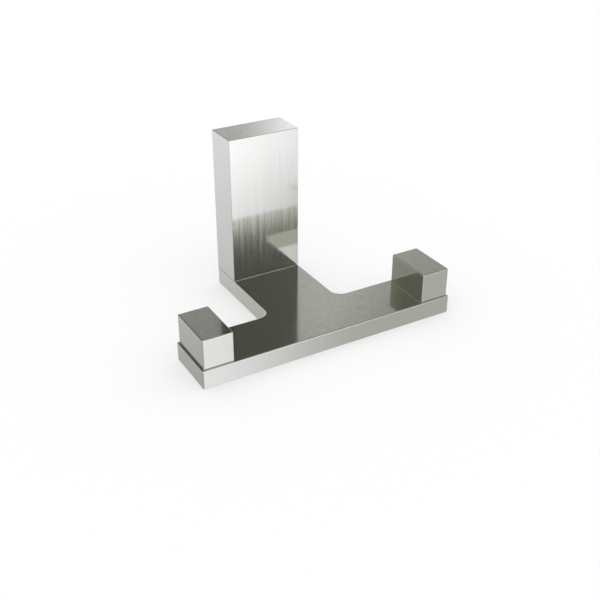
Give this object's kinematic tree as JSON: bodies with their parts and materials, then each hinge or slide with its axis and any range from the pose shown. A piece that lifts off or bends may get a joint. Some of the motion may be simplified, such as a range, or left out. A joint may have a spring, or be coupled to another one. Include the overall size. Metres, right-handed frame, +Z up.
{
  "type": "double robe hook",
  "caption": "Wall-mounted double robe hook: an upright square post and a flat T-shaped arm whose crossbar ends in square upright pegs.",
  "frame": {"origin": "midway between the two wall screw holes, on the wall's surface behind the post", "axes": "+X along the crossbar, +Y into the wall, +Z up"},
  "size_m": [0.0892, 0.0563, 0.0563],
  "materials": {
    "brushed_nickel": "brushed satin nickel, lines upright on the post and along the arm's depth on top",
    "zinc_plated_steel": "dull zinc plating",
    "screw_steel": "plain turned stainless steel"
  },
  "bodies": {
    "root": {"wall_post": "brushed_nickel", "t_plate": "brushed_nickel", "left_peg": "brushed_nickel", "right_peg": "brushed_nickel", "wall_bracket": "zinc_plated_steel", "set_screw": "screw_steel", "post_screw_left": "screw_steel", "post_screw_right": "screw_steel", "left_peg_screw_front": "screw_steel", "left_peg_screw_rear": "screw_steel", "right_peg_screw_front": "screw_steel", "right_peg_screw_rear": "screw_steel"}
  },
  "joints": []
}
